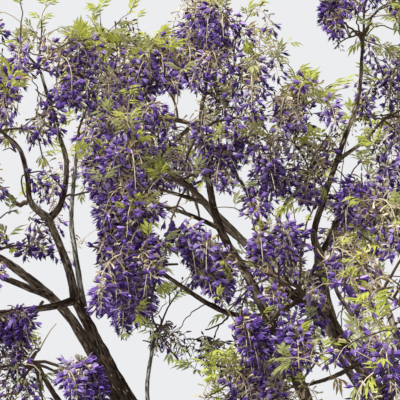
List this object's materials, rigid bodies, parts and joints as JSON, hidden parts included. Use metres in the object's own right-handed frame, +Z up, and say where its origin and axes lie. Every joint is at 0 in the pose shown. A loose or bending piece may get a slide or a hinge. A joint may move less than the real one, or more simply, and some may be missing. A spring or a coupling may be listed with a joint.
{
  "type": "african wisteria tree",
  "caption": "Small flowering tree with a short flared trunk, long bare forking boughs and an open crown of hanging violet flower clusters and young yellow-green leaves.",
  "frame": {"origin": "middle of the flat cut under the trunk, on the ground", "axes": "+Z up from the level ground; -X towards the side that the long bare limbs lean to; -Y towards the viewer of the picture"},
  "size_m": [3.6902, 2.9026, 4.409],
  "materials": {
    "bark": "rough brown-grey bark with long furrows",
    "pale_bark": "thin rough bark, pale with grey-green lichen",
    "foliage": "matt violet petals, yellow-green young leaves and straw-coloured stalks"
  },
  "bodies": {
    "root": {"trunk": "bark", "bough_back_left": "bark", "bough_east": "bark", "bough_east_fork": "bark", "bough_east_leader": "bark", "bough_east_slender": "bark", "bough_east_spur": "bark", "bough_front_low": "bark", "bough_inner": "bark", "bough_inner_side": "bark", "bough_low_right": "bark", "bough_middle": "bark", "bough_middle_low": "bark", "bough_middle_thin": "bark", "bough_near": "bark", "bough_north": "bark", "bough_pale_fork": "pale_bark", "bough_pale_twig": "pale_bark", "bough_right_back": "bark", "bough_right_front": "bark", "bough_right_high": "bark", "bough_south_east": "bark", "bough_top": "bark", "bough_west": "bark", "bough_west_crook": "bark", "bough_west_leader": "bark", "bough_west_level": "bark", "bough_west_long": "bark", "bough_west_long_low": "bark", "bough_west_low": "bark", "bough_west_pale": "pale_bark", "bough_west_upper": "bark", "mass_back_left": "foliage", "mass_east_fork": "foliage", "mass_east_leader": "foliage", "mass_east_slender": "foliage", "mass_east_spur": "foliage", "mass_front_low": "foliage", "mass_inner": "foliage", "mass_inner_side": "foliage", "mass_low_right": "foliage", "mass_middle": "foliage", "mass_middle_low": "foliage", "mass_middle_thin": "foliage", "mass_near": "foliage", "mass_north": "foliage", "mass_pale_fork": "foliage", "mass_pale_twig": "foliage", "mass_right_back": "foliage", "mass_right_front": "foliage", "mass_right_high": "foliage", "mass_south_east": "foliage", "mass_top": "foliage", "mass_west_crook": "foliage", "mass_west_leader": "foliage", "mass_west_level": "foliage", "mass_west_long": "foliage", "mass_west_long_low": "foliage", "mass_west_low": "foliage", "mass_west_pale": "foliage"}
  },
  "joints": []
}
